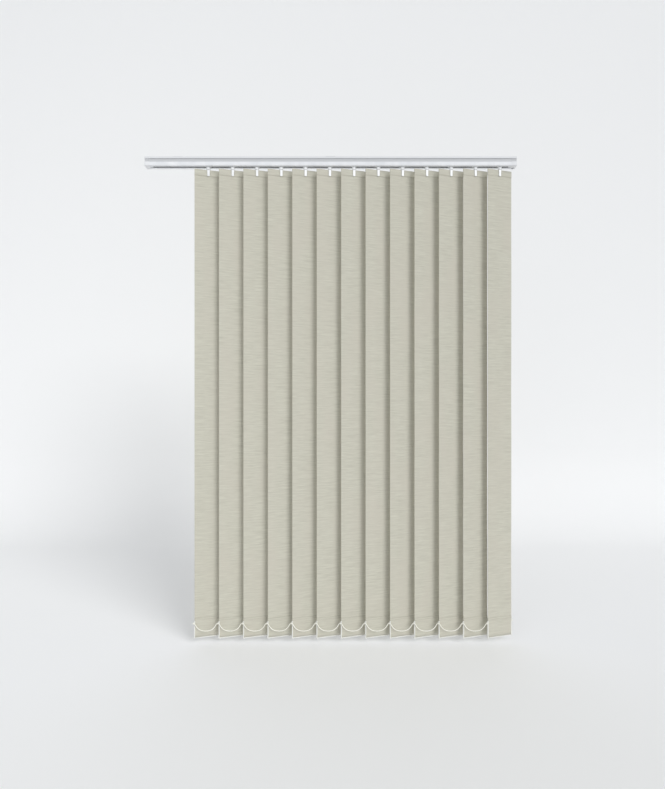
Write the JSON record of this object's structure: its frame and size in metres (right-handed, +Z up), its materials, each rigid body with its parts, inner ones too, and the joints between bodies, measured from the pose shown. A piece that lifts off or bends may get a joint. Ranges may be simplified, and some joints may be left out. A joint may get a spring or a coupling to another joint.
{
  "type": "vertical blind",
  "caption": "Vertical blind with cloth vanes hung from a slotted white headrail. The vanes tilt together and draw to the right, and chains link their bottom weights.",
  "frame": {"origin": "on the ceiling plane, at the centre of the middle bracket and of the rail", "axes": "+X along the rail towards the stack end, -Y faces the room, +Z up"},
  "size_m": [1.22, 0.0386, 1.5791],
  "materials": {
    "rail_white": "smooth white powder coat on extruded aluminium",
    "cap_white": "moulded white plastic with a fine texture",
    "carrier_white": "moulded white acetal",
    "hook_white": "slightly glossy moulded white plastic",
    "vane_cloth": "greige woven cloth with slubbed horizontal threads, welded pockets",
    "weight_white": "moulded white plastic weight",
    "chain_cream": "cream-white beads on a cord",
    "rod_aluminium": "drawn aluminium",
    "worm_nylon": "natural grey nylon",
    "bracket_steel": "zinc plated spring steel"
  },
  "bodies": {
    "rail_body": {"headrail": "rail_white", "far_end_cap": "cap_white", "control_housing": "cap_white", "ceiling_brackets": "bracket_steel", "carrier_13": "carrier_white"},
    "rod_drive": {"tilt_rod": "rod_aluminium", "chain_wheel": "worm_nylon"},
    "carriage_01": {"carrier_01": "carrier_white"},
    "worm_drive_01": {"worm_01": "worm_nylon"},
    "louvre_01": {"hook_01": "hook_white", "vane_01": "vane_cloth"},
    "carriage_02": {"carrier_02": "carrier_white"},
    "worm_drive_02": {"worm_02": "worm_nylon"},
    "louvre_02": {"hook_02": "hook_white", "vane_02": "vane_cloth"},
    "carriage_03": {"carrier_03": "carrier_white"},
    "worm_drive_03": {"worm_03": "worm_nylon"},
    "louvre_03": {"hook_03": "hook_white", "vane_03": "vane_cloth"},
    "carriage_04": {"carrier_04": "carrier_white"},
    "worm_drive_04": {"worm_04": "worm_nylon"},
    "louvre_04": {"hook_04": "hook_white", "vane_04": "vane_cloth"},
    "carriage_05": {"carrier_05": "carrier_white"},
    "worm_drive_05": {"worm_05": "worm_nylon"},
    "louvre_05": {"hook_05": "hook_white", "vane_05": "vane_cloth"},
    "carriage_06": {"carrier_06": "carrier_white"},
    "worm_drive_06": {"worm_06": "worm_nylon"},
    "louvre_06": {"hook_06": "hook_white", "vane_06": "vane_cloth"},
    "carriage_07": {"carrier_07": "carrier_white"},
    "worm_drive_07": {"worm_07": "worm_nylon"},
    "louvre_07": {"hook_07": "hook_white", "vane_07": "vane_cloth"},
    "carriage_08": {"carrier_08": "carrier_white"},
    "worm_drive_08": {"worm_08": "worm_nylon"},
    "louvre_08": {"hook_08": "hook_white", "vane_08": "vane_cloth"},
    "carriage_09": {"carrier_09": "carrier_white"},
    "worm_drive_09": {"worm_09": "worm_nylon"},
    "louvre_09": {"hook_09": "hook_white", "vane_09": "vane_cloth"},
    "carriage_10": {"carrier_10": "carrier_white"},
    "worm_drive_10": {"worm_10": "worm_nylon"},
    "louvre_10": {"hook_10": "hook_white", "vane_10": "vane_cloth"},
    "carriage_11": {"carrier_11": "carrier_white"},
    "worm_drive_11": {"worm_11": "worm_nylon"},
    "louvre_11": {"hook_11": "hook_white", "vane_11": "vane_cloth"},
    "carriage_12": {"carrier_12": "carrier_white"},
    "worm_drive_12": {"worm_12": "worm_nylon"},
    "louvre_12": {"hook_12": "hook_white", "vane_12": "vane_cloth"},
    "worm_drive_13": {"worm_13": "worm_nylon"},
    "louvre_13": {"hook_13": "hook_white", "vane_13": "vane_cloth"},
    "front_chain_run": {"front_chain": "chain_cream"},
    "rear_chain_run": {"rear_chain": "chain_cream"}
  },
  "joints": [
    {"name": "travel_01", "type": "slide", "parent": "rail_body", "child": "carriage_01", "axis": [1, 0, 0], "range_m": [0, 0.72], "deforming": ["front_chain", "rear_chain"]},
    {"name": "travel_02", "type": "slide", "parent": "rail_body", "child": "carriage_02", "axis": [1, 0, 0], "range_m": [0, 0.66]},
    {"name": "travel_03", "type": "slide", "parent": "rail_body", "child": "carriage_03", "axis": [1, 0, 0], "range_m": [0, 0.6]},
    {"name": "travel_04", "type": "slide", "parent": "rail_body", "child": "carriage_04", "axis": [1, 0, 0], "range_m": [0, 0.54]},
    {"name": "travel_05", "type": "slide", "parent": "rail_body", "child": "carriage_05", "axis": [1, 0, 0], "range_m": [0, 0.48]},
    {"name": "travel_06", "type": "slide", "parent": "rail_body", "child": "carriage_06", "axis": [1, 0, 0], "range_m": [0, 0.42]},
    {"name": "travel_07", "type": "slide", "parent": "rail_body", "child": "carriage_07", "axis": [1, 0, 0], "range_m": [0, 0.36]},
    {"name": "travel_08", "type": "slide", "parent": "rail_body", "child": "carriage_08", "axis": [1, 0, 0], "range_m": [0, 0.3]},
    {"name": "travel_09", "type": "slide", "parent": "rail_body", "child": "carriage_09", "axis": [1, 0, 0], "range_m": [0, 0.24]},
    {"name": "travel_10", "type": "slide", "parent": "rail_body", "child": "carriage_10", "axis": [1, 0, 0], "range_m": [0, 0.18]},
    {"name": "travel_11", "type": "slide", "parent": "rail_body", "child": "carriage_11", "axis": [1, 0, 0], "range_m": [0, 0.12]},
    {"name": "travel_12", "type": "slide", "parent": "rail_body", "child": "carriage_12", "axis": [1, 0, 0], "range_m": [0, 0.06]},
    {"name": "tilt_01", "type": "hinge", "parent": "carriage_01", "child": "louvre_01", "pos_m": [-0.403, -0.0015, -0.0403], "axis": [0, 0, 1], "range_deg": [-1, 149]},
    {"name": "tilt_02", "type": "hinge", "parent": "carriage_02", "child": "louvre_02", "pos_m": [-0.323, -0.0015, -0.0403], "axis": [0, 0, 1], "range_deg": [-1, 149]},
    {"name": "tilt_03", "type": "hinge", "parent": "carriage_03", "child": "louvre_03", "pos_m": [-0.243, -0.0015, -0.0403], "axis": [0, 0, 1], "range_deg": [-1, 149]},
    {"name": "tilt_04", "type": "hinge", "parent": "carriage_04", "child": "louvre_04", "pos_m": [-0.163, -0.0015, -0.0403], "axis": [0, 0, 1], "range_deg": [-1, 149]},
    {"name": "tilt_05", "type": "hinge", "parent": "carriage_05", "child": "louvre_05", "pos_m": [-0.083, -0.0015, -0.0403], "axis": [0, 0, 1], "range_deg": [-1, 149]},
    {"name": "tilt_06", "type": "hinge", "parent": "carriage_06", "child": "louvre_06", "pos_m": [-0.003, -0.0015, -0.0403], "axis": [0, 0, 1], "range_deg": [-1, 149]},
    {"name": "tilt_07", "type": "hinge", "parent": "carriage_07", "child": "louvre_07", "pos_m": [0.077, -0.0015, -0.0403], "axis": [0, 0, 1], "range_deg": [-1, 149]},
    {"name": "tilt_08", "type": "hinge", "parent": "carriage_08", "child": "louvre_08", "pos_m": [0.157, -0.0015, -0.0403], "axis": [0, 0, 1], "range_deg": [-1, 149]},
    {"name": "tilt_09", "type": "hinge", "parent": "carriage_09", "child": "louvre_09", "pos_m": [0.237, -0.0015, -0.0403], "axis": [0, 0, 1], "range_deg": [-1, 149]},
    {"name": "tilt_10", "type": "hinge", "parent": "carriage_10", "child": "louvre_10", "pos_m": [0.317, -0.0015, -0.0403], "axis": [0, 0, 1], "range_deg": [-1, 149]},
    {"name": "tilt_11", "type": "hinge", "parent": "carriage_11", "child": "louvre_11", "pos_m": [0.397, -0.0015, -0.0403], "axis": [0, 0, 1], "range_deg": [-1, 149]},
    {"name": "tilt_12", "type": "hinge", "parent": "carriage_12", "child": "louvre_12", "pos_m": [0.477, -0.0015, -0.0403], "axis": [0, 0, 1], "range_deg": [-1, 149]},
    {"name": "tilt_13", "type": "hinge", "parent": "rail_body", "child": "louvre_13", "pos_m": [0.557, -0.0015, -0.0403], "axis": [0, 0, 1], "range_deg": [-1, 149]},
    {"name": "worm_turn_01", "type": "hinge", "parent": "carriage_01", "child": "worm_drive_01", "pos_m": [-0.403, 0.0065, -0.0242], "axis": [1, 0, 0], "range_deg": [-10, 1490]},
    {"name": "worm_turn_02", "type": "hinge", "parent": "carriage_02", "child": "worm_drive_02", "pos_m": [-0.323, 0.0065, -0.0242], "axis": [1, 0, 0], "range_deg": [-10, 1490]},
    {"name": "worm_turn_03", "type": "hinge", "parent": "carriage_03", "child": "worm_drive_03", "pos_m": [-0.243, 0.0065, -0.0242], "axis": [1, 0, 0], "range_deg": [-10, 1490]},
    {"name": "worm_turn_04", "type": "hinge", "parent": "carriage_04", "child": "worm_drive_04", "pos_m": [-0.163, 0.0065, -0.0242], "axis": [1, 0, 0], "range_deg": [-10, 1490]},
    {"name": "worm_turn_05", "type": "hinge", "parent": "carriage_05", "child": "worm_drive_05", "pos_m": [-0.083, 0.0065, -0.0242], "axis": [1, 0, 0], "range_deg": [-10, 1490]},
    {"name": "worm_turn_06", "type": "hinge", "parent": "carriage_06", "child": "worm_drive_06", "pos_m": [-0.003, 0.0065, -0.0242], "axis": [1, 0, 0], "range_deg": [-10, 1490]},
    {"name": "worm_turn_07", "type": "hinge", "parent": "carriage_07", "child": "worm_drive_07", "pos_m": [0.077, 0.0065, -0.0242], "axis": [1, 0, 0], "range_deg": [-10, 1490]},
    {"name": "worm_turn_08", "type": "hinge", "parent": "carriage_08", "child": "worm_drive_08", "pos_m": [0.157, 0.0065, -0.0242], "axis": [1, 0, 0], "range_deg": [-10, 1490]},
    {"name": "worm_turn_09", "type": "hinge", "parent": "carriage_09", "child": "worm_drive_09", "pos_m": [0.237, 0.0065, -0.0242], "axis": [1, 0, 0], "range_deg": [-10, 1490]},
    {"name": "worm_turn_10", "type": "hinge", "parent": "carriage_10", "child": "worm_drive_10", "pos_m": [0.317, 0.0065, -0.0242], "axis": [1, 0, 0], "range_deg": [-10, 1490]},
    {"name": "worm_turn_11", "type": "hinge", "parent": "carriage_11", "child": "worm_drive_11", "pos_m": [0.397, 0.0065, -0.0242], "axis": [1, 0, 0], "range_deg": [-10, 1490]},
    {"name": "worm_turn_12", "type": "hinge", "parent": "carriage_12", "child": "worm_drive_12", "pos_m": [0.477, 0.0065, -0.0242], "axis": [1, 0, 0], "range_deg": [-10, 1490]},
    {"name": "worm_turn_13", "type": "hinge", "parent": "rail_body", "child": "worm_drive_13", "pos_m": [0.557, 0.0065, -0.0242], "axis": [1, 0, 0], "range_deg": [-10, 1490]},
    {"name": "rod_turn", "type": "hinge", "parent": "rail_body", "child": "rod_drive", "pos_m": [0, 0.0065, -0.0242], "axis": [1, 0, 0], "range_deg": [-10, 1490]},
    {"name": "front_chain_swivel", "type": "hinge", "parent": "louvre_13", "child": "front_chain_run", "pos_m": [0.51144, -0.01456, -1.529], "axis": [0, 0, 1], "range_deg": [-149, 1]},
    {"name": "rear_chain_swivel", "type": "hinge", "parent": "louvre_13", "child": "rear_chain_run", "pos_m": [0.60256, 0.01157, -1.529], "axis": [0, 0, 1], "range_deg": [-149, 1]}
  ],
  "couplings": [
    {"joint": "travel_02", "follows": "travel_01", "ratio": 0.91667},
    {"joint": "travel_03", "follows": "travel_01", "ratio": 0.83333},
    {"joint": "travel_04", "follows": "travel_01", "ratio": 0.75},
    {"joint": "travel_05", "follows": "travel_01", "ratio": 0.66667},
    {"joint": "travel_06", "follows": "travel_01", "ratio": 0.58333},
    {"joint": "travel_07", "follows": "travel_01", "ratio": 0.5},
    {"joint": "travel_08", "follows": "travel_01", "ratio": 0.41667},
    {"joint": "travel_09", "follows": "travel_01", "ratio": 0.33333},
    {"joint": "travel_10", "follows": "travel_01", "ratio": 0.25},
    {"joint": "travel_11", "follows": "travel_01", "ratio": 0.16667},
    {"joint": "travel_12", "follows": "travel_01", "ratio": 0.083333},
    {"joint": "tilt_01", "follows": "tilt_13", "ratio": 1},
    {"joint": "tilt_02", "follows": "tilt_13", "ratio": 1},
    {"joint": "tilt_03", "follows": "tilt_13", "ratio": 1},
    {"joint": "tilt_04", "follows": "tilt_13", "ratio": 1},
    {"joint": "tilt_05", "follows": "tilt_13", "ratio": 1},
    {"joint": "tilt_06", "follows": "tilt_13", "ratio": 1},
    {"joint": "tilt_07", "follows": "tilt_13", "ratio": 1},
    {"joint": "tilt_08", "follows": "tilt_13", "ratio": 1},
    {"joint": "tilt_09", "follows": "tilt_13", "ratio": 1},
    {"joint": "tilt_10", "follows": "tilt_13", "ratio": 1},
    {"joint": "tilt_11", "follows": "tilt_13", "ratio": 1},
    {"joint": "tilt_12", "follows": "tilt_13", "ratio": 1},
    {"joint": "worm_turn_01", "follows": "tilt_13", "ratio": 10},
    {"joint": "worm_turn_02", "follows": "tilt_13", "ratio": 10},
    {"joint": "worm_turn_03", "follows": "tilt_13", "ratio": 10},
    {"joint": "worm_turn_04", "follows": "tilt_13", "ratio": 10},
    {"joint": "worm_turn_05", "follows": "tilt_13", "ratio": 10},
    {"joint": "worm_turn_06", "follows": "tilt_13", "ratio": 10},
    {"joint": "worm_turn_07", "follows": "tilt_13", "ratio": 10},
    {"joint": "worm_turn_08", "follows": "tilt_13", "ratio": 10},
    {"joint": "worm_turn_09", "follows": "tilt_13", "ratio": 10},
    {"joint": "worm_turn_10", "follows": "tilt_13", "ratio": 10},
    {"joint": "worm_turn_11", "follows": "tilt_13", "ratio": 10},
    {"joint": "worm_turn_12", "follows": "tilt_13", "ratio": 10},
    {"joint": "worm_turn_13", "follows": "tilt_13", "ratio": 10},
    {"joint": "rod_turn", "follows": "tilt_13", "ratio": 10},
    {"joint": "front_chain_swivel", "follows": "tilt_13", "ratio": -1},
    {"joint": "rear_chain_swivel", "follows": "tilt_13", "ratio": -1}
  ]
}
